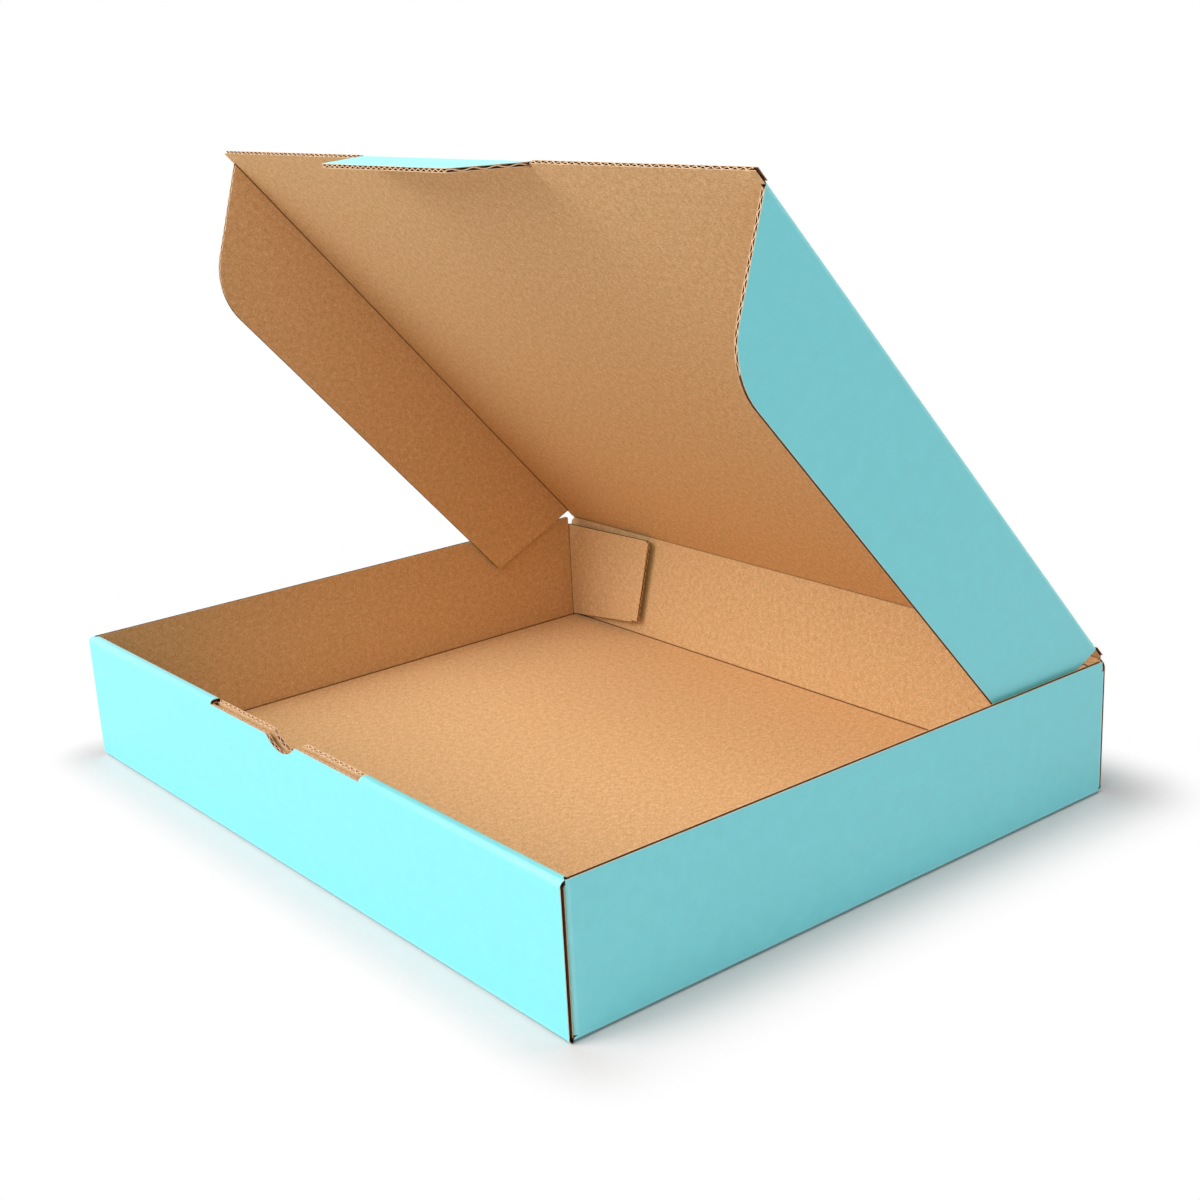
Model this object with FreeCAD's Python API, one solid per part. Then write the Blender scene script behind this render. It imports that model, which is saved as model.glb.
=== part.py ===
import FreeCAD, Part
import math
import os

# Die-cut corrugated mailer box with its lid part open. One folded sheet makes the tray and, across
# the rear crease, the lid. X runs left to right, the front wall faces -Y, and the origin is the
# middle of the floor's underside. All sizes are in millimetres, all angles in degrees.

# ---- board ----
BOARD = 1.5                  # E-flute board, both liners included
CREASE_INSIDE = 0.25         # inside radius of a creased fold

# ---- tray ----
LENGTH = 310.0               # outside, left to right
DEPTH = 250.0                # outside, front to back
HEIGHT = 51.0                # outside, floor underside to the top of the front wall

# ---- double front wall ----
WALL_SPACE = 1.8             # between the outer and the inner front panel, where the tabs go
PANEL_END_GAP = 0.6          # from the inner panel's ends to the side walls
PANEL_FLOOR_GAP = 0.2        # from the inner panel's lower edge to the floor
SLOT_LENGTH = 101.0          # slot in the roll-over strip for the lid's tuck tab
SLOT_DROP_OUTER = 1.5        # outer panel's cut edge below the top of the wall
SLOT_DROP_INNER = 0.9        # inner panel's cut edge below the top of the wall
NOTCH_WIDTH = 19.7           # thumb notch, across its mouth at the outer panel's cut edge
NOTCH_DEPTH = 4.5            # thumb notch below that edge
NOTCH_LIP_RADIUS = 1.2       # rounding where the notch meets the slot's edge
LUG_WIDTH = 30.0             # lug on the inner panel's lower edge
LUG_OFFSET = 88.0            # middle of each lug from the middle of the box
LUG_DEPTH = 1.4              # how far a lug reaches down from the floor's upper face
LUG_SLOT_GAP = 0.3           # round a lug in its floor slot
CORNER_TAB_LENGTH = 58.0     # front corner tab, from the side wall's outer face
CORNER_TAB_TAPER = 8.0       # its free end is cut back by this at the bottom
CORNER_TAB_TOP_GAP = 0.25    # below the roll-over strip

# ---- lid ----
LID_OPENING = 48.0           # the lid's angle above shut, as it stands
LID_SIDE_GAP = 0.9           # from each ear's outer face to the side wall's inner face
LID_SETBACK = 1.5            # lid's front edge behind the front wall's outer face
HINGE_GAP = 0.3              # round a crease that turns, between its two panels
HINGE_END_RADIUS = 3.2       # rounded top corners of the rear wall at the crease
EAR_DEPTH = 46.0             # ear, from the lid's middle plane to its lower edge
EAR_FRONT_INSET = 5.25       # front end of the ear's fold behind the lid's front edge
EAR_FRONT_SLANT = 0.60       # its front edge runs back by this much of its drop
EAR_FRONT_RADIUS = 28.0      # rounded lower front corner
EAR_REAR_INSET = 5.0         # rear end of the ear's fold in front of the lid's crease
EAR_REAR_SLANT = 0.31        # its rear edge runs forward by this much of its drop

# ---- tuck tab on the lid's front edge ----
TAB_FOLD = 49.0              # the tab's angle out of the lid's plane, as it stands
TAB_WIDTH = 99.0             # along its crease
TAB_DEPTH = 24.5             # crease to free edge
TAB_TAPER = 11.6             # each side comes in by this at the free edge
TAB_SHOULDER = 1.6           # straight part of each side next to the crease
TAB_RELIEF = 0.8             # gap at each end of the crease
TAB_CORNER_RADIUS = 1.0      # free corners

# ---- rear corner flaps ----
FLAP_STANDOFF = 2.0          # angle off the rear wall, as they stand
FLAP_TOP_LENGTH = 62.0       # crease to free edge along the top
FLAP_BOTTOM_LENGTH = 50.5    # the same along the bottom
FLAP_TOP_GAP = 3.6           # below the top of the walls, at the crease
FLAP_TOP_RISE = 3.0          # the upper edge climbs by this towards the free edge
FLAP_FLOOR_GAP = 0.6         # above the floor, at the crease
FLAP_BOTTOM_RISE = 7.0       # the lower edge climbs by this towards the free edge
FLAP_CORNER_RADIUS = 1.5     # free corners
FLAP_NICK = 2.0              # small square nick beside the lower free corner

# ---- worked out from the sizes above ----
HALF_BOARD = BOARD / 2.0
FOLD = BOARD + CREASE_INSIDE                     # outside radius of a fold, and the room it takes
SIDE = LENGTH / 2.0                              # outer face of a side wall
REAR = DEPTH / 2.0                               # outer face of the rear wall
FRONT = -DEPTH / 2.0                             # outer face of the front wall
INNER_PANEL_FRONT = FRONT + BOARD + WALL_SPACE   # the inner front panel's hidden face
INNER_PANEL_BACK = INNER_PANEL_FRONT + BOARD     # its face towards the inside of the box
INNER_PANEL_END = SIDE - BOARD - PANEL_END_GAP
TUCK_Y = FRONT + BOARD + WALL_SPACE / 2.0        # middle of the space that the tabs slide into
CORNER_TAB_TOP = HEIGHT - BOARD - CORNER_TAB_TOP_GAP
LID_AXIS_Y = REAR - HALF_BOARD
LID_AXIS_Z = HEIGHT + HALF_BOARD                 # a shut lid lies on the front wall's top
LID_SIDE = SIDE - BOARD - LID_SIDE_GAP           # outer face of an ear
LID_FRONT = FRONT + LID_SETBACK
FLAP_AXIS_X = SIDE - BOARD                       # a flap turns on the inside line of its crease
FLAP_AXIS_Y = REAR - BOARD - HINGE_GAP - BOARD
SIDE_WALL_REAR = FLAP_AXIS_Y - HINGE_GAP
REACH = 5.0                                      # how far a cutting tool overshoots
QUARTER_TURN = 90.0

X_AXIS = FreeCAD.Vector(1, 0, 0)
Y_AXIS = FreeCAD.Vector(0, 1, 0)
Z_AXIS = FreeCAD.Vector(0, 0, 1)


# ---- outlines: lists of (u, v, corner radius) in one of three planes ----

def on_yz(u, v, level):
    return FreeCAD.Vector(level, u, v)


def on_xz(u, v, level):
    return FreeCAD.Vector(u, level, v)


def on_xy(u, v, level):
    return FreeCAD.Vector(u, v, level)


def corner_points(before, corner, after, radius):
    """Where an arc of this radius leaves both sides of a corner, and the arc's middle point."""
    back = FreeCAD.Vector(before[0] - corner[0], before[1] - corner[1], 0).normalize()
    ahead = FreeCAD.Vector(after[0] - corner[0], after[1] - corner[1], 0).normalize()
    half = back.getAngle(ahead) / 2.0
    reach = radius / math.tan(half)
    middle = (back + ahead).normalize() * (radius / math.sin(half) - radius)
    start = (corner[0] + back.x * reach, corner[1] + back.y * reach)
    end = (corner[0] + ahead.x * reach, corner[1] + ahead.y * reach)
    return start, (corner[0] + middle.x, corner[1] + middle.y), end


def outline_face(outline, plane, level):
    """A flat face inside a closed outline whose corners may be rounded."""
    edges = []
    runs = []
    count = len(outline)
    for i, (u, v, radius) in enumerate(outline):
        if radius > 0:
            start, middle, end = corner_points(
                outline[i - 1], (u, v), outline[(i + 1) % count], radius)
            edges.append(Part.Arc(*[plane(p[0], p[1], level) for p in (start, middle, end)]).toShape())
        else:
            start = end = (u, v)
        runs.append((start, end))
    for i, (start, end) in enumerate(runs):
        goal = runs[(i + 1) % count][0]
        if math.hypot(goal[0] - end[0], goal[1] - end[1]) > 1e-6:
            line = Part.LineSegment(plane(*end, level), plane(*goal, level))
            edges.append(line.toShape())
    return Part.Face(Part.Wire(Part.__sortEdges__(edges)))


def plate(outline, plane, start, end):
    """A plate cut to an outline, from one level to the other along the plane's normal."""
    direction = plane(0, 0, end - start)
    return outline_face(outline, plane, start).extrude(direction)


def folded_outline(path):
    """The section of board folded along a centre line, with a rounded crease at each corner."""
    sides = {1: [], -1: []}
    last = len(path) - 1
    headings = [math.atan2(b[1] - a[1], b[0] - a[0]) for a, b in zip(path, path[1:])]
    for i, (u, v) in enumerate(path):
        before = headings[max(i - 1, 0)]
        after = headings[min(i, last - 1)]
        turn = math.remainder(after - before, math.tau)
        normal = before + turn / 2.0 + math.pi / 2.0
        stretch = HALF_BOARD / math.cos(turn / 2.0)
        for side in sides:
            inside = side * turn > 0
            radius = 0.0 if i in (0, last) else (CREASE_INSIDE if inside else FOLD)
            point = (u + side * stretch * math.cos(normal), v + side * stretch * math.sin(normal))
            sides[side].append((point[0], point[1], radius))
    return sides[1] + sides[-1][::-1]


def folded_board(path, plane, start, end):
    return plate(folded_outline(path), plane, start, end)


def box(low, high):
    size = [b - a for a, b in zip(low, high)]
    return Part.makeBox(size[0], size[1], size[2], FreeCAD.Vector(*low))


def joined(shapes):
    """Board pieces that are one sheet, as one solid with no seams left between them."""
    return shapes[0].fuse(shapes[1:]).removeSplitter()


def mirrored(shape):
    return shape.mirror(FreeCAD.Vector(0, 0, 0), X_AXIS)


# ---- tray ----

def slot_cutter(drop, y_from, y_to):
    """What the slot and the thumb notch take out of one front panel."""
    edge = HEIGHT - drop
    slot = box((-SLOT_LENGTH / 2.0, y_from, edge), (SLOT_LENGTH / 2.0, y_to, HEIGHT + REACH))
    outer_edge = HEIGHT - SLOT_DROP_OUTER
    radius = (NOTCH_WIDTH ** 2 / 4.0 + NOTCH_DEPTH ** 2) / (2.0 * NOTCH_DEPTH)
    middle = outer_edge - NOTCH_DEPTH + radius
    notch = Part.makeCylinder(radius, y_to - y_from, FreeCAD.Vector(0, y_from, middle), Y_AXIS)
    cutter = slot.fuse(notch).removeSplitter()
    mouth = math.sqrt(radius ** 2 - (middle - edge) ** 2)
    lips = [e for e in cutter.Edges
            if abs(abs(e.CenterOfMass.x) - mouth) < 0.01 and abs(e.CenterOfMass.z - edge) < 0.01]
    return cutter.makeFillet(NOTCH_LIP_RADIUS, lips)


def slot_channel():
    """Clears the rounded inside of both creases, so that the tuck tab can pass between the panels."""
    half = SLOT_LENGTH / 2.0
    return box(
        (-half, FRONT + BOARD, HEIGHT - FOLD), (half, INNER_PANEL_FRONT, HEIGHT + REACH))


def front_wall():
    """Outer panel, roll-over strip and inner panel, folded from the floor's front edge."""
    outer = FRONT + HALF_BOARD
    inner = INNER_PANEL_FRONT + HALF_BOARD
    centre_line = [
        (FRONT + FOLD + HALF_BOARD, HALF_BOARD),
        (outer, HALF_BOARD),
        (outer, HEIGHT - HALF_BOARD),
        (inner, HEIGHT - HALF_BOARD),
        (inner, BOARD + PANEL_FLOOR_GAP),
    ]
    wall = folded_board(centre_line, on_yz, -SIDE, SIDE)
    # the strip's ends slant in, so that it and the inner panel fit between the side walls
    end_cut = [
        (SIDE, FRONT + BOARD, 0),
        (INNER_PANEL_END, INNER_PANEL_FRONT, 0),
        (INNER_PANEL_END, INNER_PANEL_BACK + REACH, 0),
        (SIDE + REACH, INNER_PANEL_BACK + REACH, 0),
        (SIDE + REACH, FRONT + BOARD, 0),
    ]
    end_cutter = plate(end_cut, on_xy, BOARD, HEIGHT + REACH)
    cutters = [
        end_cutter,
        mirrored(end_cutter),
        slot_cutter(SLOT_DROP_OUTER, FRONT - REACH, INNER_PANEL_FRONT),
        slot_channel(),
        slot_cutter(SLOT_DROP_INNER, INNER_PANEL_FRONT, INNER_PANEL_BACK + REACH),
    ]
    return wall.cut(cutters)


def lug(x):
    """A lug of the inner front panel, down into its slot in the floor."""
    return box(
        (x - LUG_WIDTH / 2.0, INNER_PANEL_FRONT, BOARD - LUG_DEPTH),
        (x + LUG_WIDTH / 2.0, INNER_PANEL_BACK, BOARD + PANEL_FLOOR_GAP + REACH))


def lug_slot(x):
    half = LUG_WIDTH / 2.0 + LUG_SLOT_GAP
    return box(
        (x - half, INNER_PANEL_FRONT - LUG_SLOT_GAP, -REACH),
        (x + half, INNER_PANEL_BACK + LUG_SLOT_GAP, BOARD + PANEL_FLOOR_GAP / 2.0))


def floor_panel():
    edge_x = SIDE - FOLD
    edge_y = REAR - FOLD
    panel = box((-edge_x, -edge_y, 0), (edge_x, edge_y, BOARD))
    return panel.cut([lug_slot(x) for x in (-LUG_OFFSET, LUG_OFFSET)])


def side_wall():
    """Right side wall: the fold up from the floor, the wall, and the corner tab at its front."""
    wall_x = SIDE - HALF_BOARD
    fold_up = folded_board(
        [(SIDE - FOLD - HALF_BOARD, HALF_BOARD), (wall_x, HALF_BOARD), (wall_x, FOLD + HALF_BOARD)],
        on_xz, FRONT + FOLD, REAR - FOLD)
    fold_up = fold_up.common(box((0, FRONT, 0), (SIDE, REAR, FOLD)))
    front_fold = TUCK_Y - HALF_BOARD + FOLD
    wall = box((SIDE - BOARD, front_fold, FOLD), (SIDE, SIDE_WALL_REAR, HEIGHT))
    corner_tab = folded_board(
        [(SIDE - CORNER_TAB_LENGTH, TUCK_Y), (wall_x, TUCK_Y), (wall_x, front_fold + BOARD)],
        on_xy, FOLD, CORNER_TAB_TOP)
    tab_end = SIDE - CORNER_TAB_LENGTH
    taper = plate(
        [(tab_end - REACH, 0, 0), (tab_end + CORNER_TAB_TAPER, 0, 0), (tab_end, CORNER_TAB_TOP, 0),
         (tab_end - REACH, CORNER_TAB_TOP, 0)],
        on_xz, TUCK_Y - BOARD, TUCK_Y + BOARD)
    return joined([fold_up, wall, corner_tab.cut(taper)])


def rear_wall():
    """Rear wall up to the lid's crease, its top corners rounded where the crease ends."""
    wall_y = REAR - HALF_BOARD
    top = HEIGHT - HINGE_GAP
    wall = folded_board(
        [(REAR - FOLD - HALF_BOARD, HALF_BOARD), (wall_y, HALF_BOARD), (wall_y, top)],
        on_yz, -SIDE, SIDE)
    rounded = plate(
        [(-SIDE, -REACH, 0), (SIDE, -REACH, 0), (SIDE, top, HINGE_END_RADIUS),
         (-SIDE, top, HINGE_END_RADIUS)],
        on_xz, REAR - FOLD - BOARD, REAR + REACH)
    return wall.common(rounded)


def tray():
    right_wall = side_wall()
    lugs = [lug(x) for x in (-LUG_OFFSET, LUG_OFFSET)]
    return joined([floor_panel(), front_wall(), rear_wall(), right_wall, mirrored(right_wall)] + lugs)


# ---- lid, modelled shut and then opened about its crease ----

def opened(shape):
    return shape.rotate(FreeCAD.Vector(0, LID_AXIS_Y, LID_AXIS_Z), X_AXIS, -LID_OPENING)


def ear_outline():
    """Side view of the folded lid: its panel between the ears, and an ear below it."""
    fold_front = LID_FRONT + EAR_FRONT_INSET
    fold_rear = LID_AXIS_Y - EAR_REAR_INSET
    above = LID_AXIS_Z + BOARD
    bottom = LID_AXIS_Z - EAR_DEPTH
    return [
        (fold_front, above, 0),
        (fold_front, LID_AXIS_Z, 0),
        (fold_front + EAR_FRONT_SLANT * EAR_DEPTH, bottom, EAR_FRONT_RADIUS),
        (fold_rear - EAR_REAR_SLANT * EAR_DEPTH, bottom, 0),
        (fold_rear, LID_AXIS_Z, 0),
        (fold_rear, above, 0),
    ]


def lid():
    """Lid panel with an ear folded down at each side and a rounded end at the crease."""
    ear_x = LID_SIDE - HALF_BOARD
    bottom = LID_AXIS_Z - EAR_DEPTH
    hood = folded_board(
        [(-ear_x, bottom), (-ear_x, LID_AXIS_Z), (ear_x, LID_AXIS_Z), (ear_x, bottom)],
        on_xz, LID_FRONT, LID_AXIS_Y)
    hood = hood.common(plate(ear_outline(), on_yz, -LID_SIDE, LID_SIDE))
    below = LID_AXIS_Z - HALF_BOARD
    above = LID_AXIS_Z + HALF_BOARD
    front_edge = box((-LID_SIDE, LID_FRONT, below), (LID_SIDE, LID_FRONT + EAR_FRONT_INSET, above))
    rear_edge = box((-LID_SIDE, LID_AXIS_Y - EAR_REAR_INSET, below), (LID_SIDE, LID_AXIS_Y, above))
    crease = Part.makeCylinder(
        HALF_BOARD, 2.0 * LID_SIDE, FreeCAD.Vector(-LID_SIDE, LID_AXIS_Y, LID_AXIS_Z), X_AXIS)
    recess_half = TAB_WIDTH / 2.0 + TAB_RELIEF
    recess = box(
        (-recess_half, LID_FRONT - REACH, below - REACH),
        (recess_half, TUCK_Y + HALF_BOARD + HINGE_GAP, above + REACH))
    return opened(joined([hood, front_edge, rear_edge, crease]).cut(recess))


def front_tab():
    """Tuck tab: a short straight shoulder at the crease, then sides that taper to the free edge."""
    half = TAB_WIDTH / 2.0
    free_half = half - TAB_TAPER
    free_edge = TUCK_Y - TAB_DEPTH
    panel = plate(
        [(-half, TUCK_Y, 0), (half, TUCK_Y, 0), (half, TUCK_Y - TAB_SHOULDER, 0),
         (free_half, free_edge, TAB_CORNER_RADIUS), (-free_half, free_edge, TAB_CORNER_RADIUS),
         (-half, TUCK_Y - TAB_SHOULDER, 0)],
        on_xy, LID_AXIS_Z - HALF_BOARD, LID_AXIS_Z + HALF_BOARD)
    crease = Part.makeCylinder(
        HALF_BOARD, TAB_WIDTH, FreeCAD.Vector(-half, TUCK_Y, LID_AXIS_Z), X_AXIS)
    tab = joined([panel, crease])
    return opened(tab.rotate(FreeCAD.Vector(0, TUCK_Y, LID_AXIS_Z), X_AXIS, TAB_FOLD))


# ---- rear corner flaps ----

def rear_corner_flap():
    """Right flap: a tapered panel that stands a little off the rear wall."""
    low = BOARD + FLAP_FLOOR_GAP
    high = HEIGHT - FLAP_TOP_GAP
    free_low = low + FLAP_BOTTOM_RISE
    nick_x = FLAP_AXIS_X - FLAP_BOTTOM_LENGTH + 2.0 * FLAP_NICK
    panel = plate(
        [(FLAP_AXIS_X, low, 0),
         (FLAP_AXIS_X, high, 0),
         (FLAP_AXIS_X - FLAP_TOP_LENGTH, high + FLAP_TOP_RISE, FLAP_CORNER_RADIUS),
         (FLAP_AXIS_X - FLAP_BOTTOM_LENGTH, free_low, 0),
         (nick_x, free_low, 0),
         (nick_x, free_low - FLAP_NICK / 2.0, 0)],
        on_xz, FLAP_AXIS_Y, FLAP_AXIS_Y + BOARD)
    bend = Part.makeCylinder(
        BOARD, high - low, FreeCAD.Vector(FLAP_AXIS_X, FLAP_AXIS_Y, low), Z_AXIS, QUARTER_TURN)
    flap = joined([panel, bend])
    return flap.rotate(FreeCAD.Vector(FLAP_AXIS_X, FLAP_AXIS_Y, 0), Z_AXIS, FLAP_STANDOFF)


def main():
    right_flap = rear_corner_flap()
    nodes = {
        "tray": tray(),
        "lid": lid(),
        "front_tab": front_tab(),
        "rear_corner_flap_right": right_flap,
        "rear_corner_flap_left": mirrored(right_flap),
    }
    os.makedirs("parts", exist_ok=True)
    for name, shape in nodes.items():
        solids = shape.Solids
        if len(solids) != 1 or not shape.isValid():
            raise ValueError(f"{name} has {len(solids)} solids, valid: {shape.isValid()}")
        solids[0].exportStep(f"parts/{name}.step")
        bounds = shape.BoundBox
        print(f"{name}: {bounds.XLength:.1f} x {bounds.YLength:.1f} x {bounds.ZLength:.1f} mm, "
              f"volume {shape.Volume / 1000.0:.1f} cm3")


main()
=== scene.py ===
# %% [markdown]
# # A die-cut mailer box, printed outside and bare kraft inside
# One sheet of E-flute board makes the tray and the lid. A sheet like this could be modelled as a
# few thin slabs, but then its cut edges look like plywood. Here each layer of the board is made as
# it is in the factory: a printed liner, a wavy medium and a kraft liner, all cut flat and then
# folded. The CAD frame comes first, because every piece has to stand where its CAD node stands.

# %% Frame
import math

import bmesh
import bpy
import numpy as np
from mathutils import Matrix, Vector
from mathutils.geometry import delaunay_2d_cdt


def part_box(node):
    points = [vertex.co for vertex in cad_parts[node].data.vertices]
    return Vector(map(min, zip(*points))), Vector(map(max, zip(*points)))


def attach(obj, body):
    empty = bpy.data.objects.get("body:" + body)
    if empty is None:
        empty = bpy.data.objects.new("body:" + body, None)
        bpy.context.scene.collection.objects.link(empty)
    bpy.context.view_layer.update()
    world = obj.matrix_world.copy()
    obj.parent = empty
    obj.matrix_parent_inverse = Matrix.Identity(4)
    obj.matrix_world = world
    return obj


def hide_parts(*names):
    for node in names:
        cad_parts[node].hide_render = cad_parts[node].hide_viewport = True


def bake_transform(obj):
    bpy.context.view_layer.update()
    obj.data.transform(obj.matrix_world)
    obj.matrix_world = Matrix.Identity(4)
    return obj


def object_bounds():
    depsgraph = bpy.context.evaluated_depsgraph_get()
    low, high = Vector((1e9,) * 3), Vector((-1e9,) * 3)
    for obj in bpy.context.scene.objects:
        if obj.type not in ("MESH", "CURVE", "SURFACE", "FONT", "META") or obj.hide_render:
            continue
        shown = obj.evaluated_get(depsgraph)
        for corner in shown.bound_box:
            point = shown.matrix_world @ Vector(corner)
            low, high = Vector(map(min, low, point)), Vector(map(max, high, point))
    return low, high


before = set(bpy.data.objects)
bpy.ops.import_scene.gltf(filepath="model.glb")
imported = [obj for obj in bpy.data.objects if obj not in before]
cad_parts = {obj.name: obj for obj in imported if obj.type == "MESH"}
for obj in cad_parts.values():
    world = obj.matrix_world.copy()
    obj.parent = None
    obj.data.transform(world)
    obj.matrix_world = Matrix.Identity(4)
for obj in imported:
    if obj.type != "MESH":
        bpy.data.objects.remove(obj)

cad_box = [list(corner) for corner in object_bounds()]
print("CAD box", [[round(c, 4) for c in corner] for corner in cad_box])

# %% [markdown]
# ## Sizes
# The board is drawn in millimetres, the unit it is sold in, and turned to metres once, when a mesh
# is made. The sizes are the CAD part's, and the last lines check the ones that the frame can tell.

# %% Sizes
MM = 0.001
BOARD = 1.5                        # E-flute, both liners included
CREASE_INSIDE = 0.25
FOLD = BOARD + CREASE_INSIDE       # outside radius of a fold
FOLD_RUN = math.pi / 2 * (CREASE_INSIDE + BOARD / 2)   # board that a right-angle fold uses up
CREASE_EDGE = 0.35                 # the board beside a crease that its dent dies out over
LINER = 0.22
FLUTE_PITCH = 3.3
MEDIUM = 0.34                      # nearer 0.2 in life, drawn thicker so that the waves show
GLUE_GAP = 0.04                    # kept free between the medium and the liners

SIDE, REAR, HEIGHT = 155.0, 125.0, 51.0
SIDE_CREASE = SIDE - FOLD          # where the floor ends and a side wall's fold begins
END_CREASE = REAR - FOLD           # the same for the front and rear walls
WALL_SPACE = 1.8
STRIP = WALL_SPACE + 2 * BOARD - 2 * FOLD   # flat part of the roll-over strip
TUCK_Y = -(REAR - BOARD - WALL_SPACE / 2)
INNER_PANEL_END = SIDE - BOARD - 0.6
SIDE_WALL_REAR = 121.4
REAR_WALL_END = SIDE - 1.4         # the rear wall stops short behind the side walls
FLAP_AXIS = (SIDE - BOARD, 121.7)
HINGE = (REAR - BOARD / 2, HEIGHT + BOARD / 2)
HINGE_GAP = 0.3
LID_OPENING = math.radians(48)
LID_SIDE = 152.6
LID_CREASE = LID_SIDE - FOLD
LID_REACH = HINGE[0] + 123.5       # from the lid's crease to its front edge
TAB_FOLD = math.radians(49)
FLAP_STANDOFF = math.radians(2)
tray_corner = np.array(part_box("tray")[1]) / MM
print("tray sides and ends off by", np.round(tray_corner[:2] - (SIDE, REAR), 3), "mm")

# %% [markdown]
# ## Camera and floor
# The box is seen from its front right corner, a little above the lid, with a short telephoto
# lens. The floor is white paper. Beside the box it shows the light and the soft shadow that fall
# on it. What the camera sees of it turns into an even white glow, within 40 mm to the right and
# the rear, where the shadow falls, and within 24 mm to the left and the front.


# %% A node and its links
def add(tree, kind, settings=(), links=()):
    """Adds a node, sets its properties, and feeds its inputs with values or other sockets."""
    node = tree.nodes.new(kind)
    for name, value in dict(settings).items():
        setattr(node, name, value)
    for key, value in dict(links).items():
        if isinstance(value, bpy.types.NodeSocket):
            tree.links.new(value, node.inputs[key])
        else:
            node.inputs[key].default_value = value
    return node


def linear(code):
    """An sRGB hex colour as the linear RGBA that Blender works in."""
    parts = [int(code[i:i + 2], 16) / 255 for i in (1, 3, 5)]
    return tuple(c / 12.92 if c <= 0.04045 else ((c + 0.055) / 1.055) ** 2.4
                 for c in parts) + (1.0,)


def new_material(name):
    material = bpy.data.materials.new(name)
    material.use_nodes = True
    material.node_tree.nodes.clear()
    return material, material.node_tree


def seen_or_mirrored(tree):
    """1 for a ray from the camera, a reflection or a look through glass, 0 for lighting rays."""
    path = add(tree, "ShaderNodeLightPath").outputs
    seen = add(tree, "ShaderNodeMath", {"operation": "MAXIMUM"},
               {0: path["Is Camera Ray"], 1: path["Is Glossy Ray"]})
    return add(tree, "ShaderNodeMath", {"operation": "MAXIMUM"},
               {0: seen.outputs[0], 1: path["Is Transmission Ray"]})


# %% Camera
scene = bpy.context.scene
camera = bpy.data.objects.new("camera", bpy.data.cameras.new("camera"))
camera.data.lens = 53.581
camera.data.sensor_width = 36.0
camera.data.clip_start = 0.01
camera.location = (0.513943, -0.389903, 0.271693)
camera.rotation_euler = [math.radians(a) for a in (72.5625, 2.8226, 50.738)]
scene.collection.objects.link(camera)
scene.camera = camera
scene.view_settings.view_transform = "Standard"
print("camera", tuple(round(c, 3) for c in camera.location))

# %% Floor
FLOOR_DROP = 0.0002               # just under the box, so that the two never share a plane
GLOW_REAR_RIGHT, GLOW_FRONT_LEFT = 0.04, 0.024
floor_mesh = bpy.data.meshes.new("studio_floor")
floor_mesh.from_pydata([(-6, -6, 0), (6, -6, 0), (6, 6, 0), (-6, 6, 0)], [], [(0, 1, 2, 3)])
floor_mesh.transform(Matrix.Translation((0, 0, -FLOOR_DROP)))
studio_floor = bpy.data.objects.new("studio_floor", floor_mesh)
scene.collection.objects.link(studio_floor)

paper_white, tree = new_material("white_studio_paper")
lit = add(tree, "ShaderNodeBsdfDiffuse", links={"Color": (0.70, 0.66, 0.65, 1)})
glow = add(tree, "ShaderNodeEmission", links={"Color": (1, 1, 1, 1), "Strength": 1.0})
seen = seen_or_mirrored(tree)
place = add(tree, "ShaderNodeTexCoord").outputs["Object"]
beyond = add(tree, "ShaderNodeVectorMath", {"operation": "SUBTRACT"}, {0: place, 1: cad_box[1]})
beyond = add(tree, "ShaderNodeVectorMath", {"operation": "DIVIDE"}, {
    0: beyond.outputs[0], 1: (GLOW_REAR_RIGHT, GLOW_REAR_RIGHT, 1)})
before = add(tree, "ShaderNodeVectorMath", {"operation": "SUBTRACT"}, {0: cad_box[0], 1: place})
before = add(tree, "ShaderNodeVectorMath", {"operation": "DIVIDE"}, {
    0: before.outputs[0], 1: (GLOW_FRONT_LEFT, GLOW_FRONT_LEFT, 1)})
beside = add(tree, "ShaderNodeVectorMath", {"operation": "MAXIMUM"}, {
    0: beyond.outputs[0], 1: before.outputs[0]})
beside = add(tree, "ShaderNodeVectorMath", {"operation": "MAXIMUM"}, {
    0: beside.outputs[0], 1: (0, 0, 0)})
beside = add(tree, "ShaderNodeVectorMath", {"operation": "LENGTH"}, {0: beside.outputs[0]})
glowing = add(tree, "ShaderNodeMapRange", {"interpolation_type": "SMOOTHSTEP"}, {
    "Value": beside.outputs["Value"], "From Min": 0.0, "From Max": 1.0})
share = add(tree, "ShaderNodeMath", {"operation": "MULTIPLY"}, {
    0: seen.outputs[0], 1: glowing.outputs[0]})
mixed = add(tree, "ShaderNodeMixShader", links={
    0: share.outputs[0], 1: lit.outputs[0], 2: glow.outputs[0]})
add(tree, "ShaderNodeOutputMaterial", links={"Surface": mixed.outputs[0]})
floor_mesh.materials.append(paper_white)
print("floor", tuple(studio_floor.dimensions))

# %% [markdown]
# ## Light
# A tent of white cloth lights a pack shot: soft light from all round, more of it from the front
# left and from above, so that the front wall and the floor of the box are bright and the sides a
# step darker. One large lamp does each job, and the world stands for the tent. The world is white
# to the eye and in reflections, but lights the box only faintly, or the lamps' shaping is lost.

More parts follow.
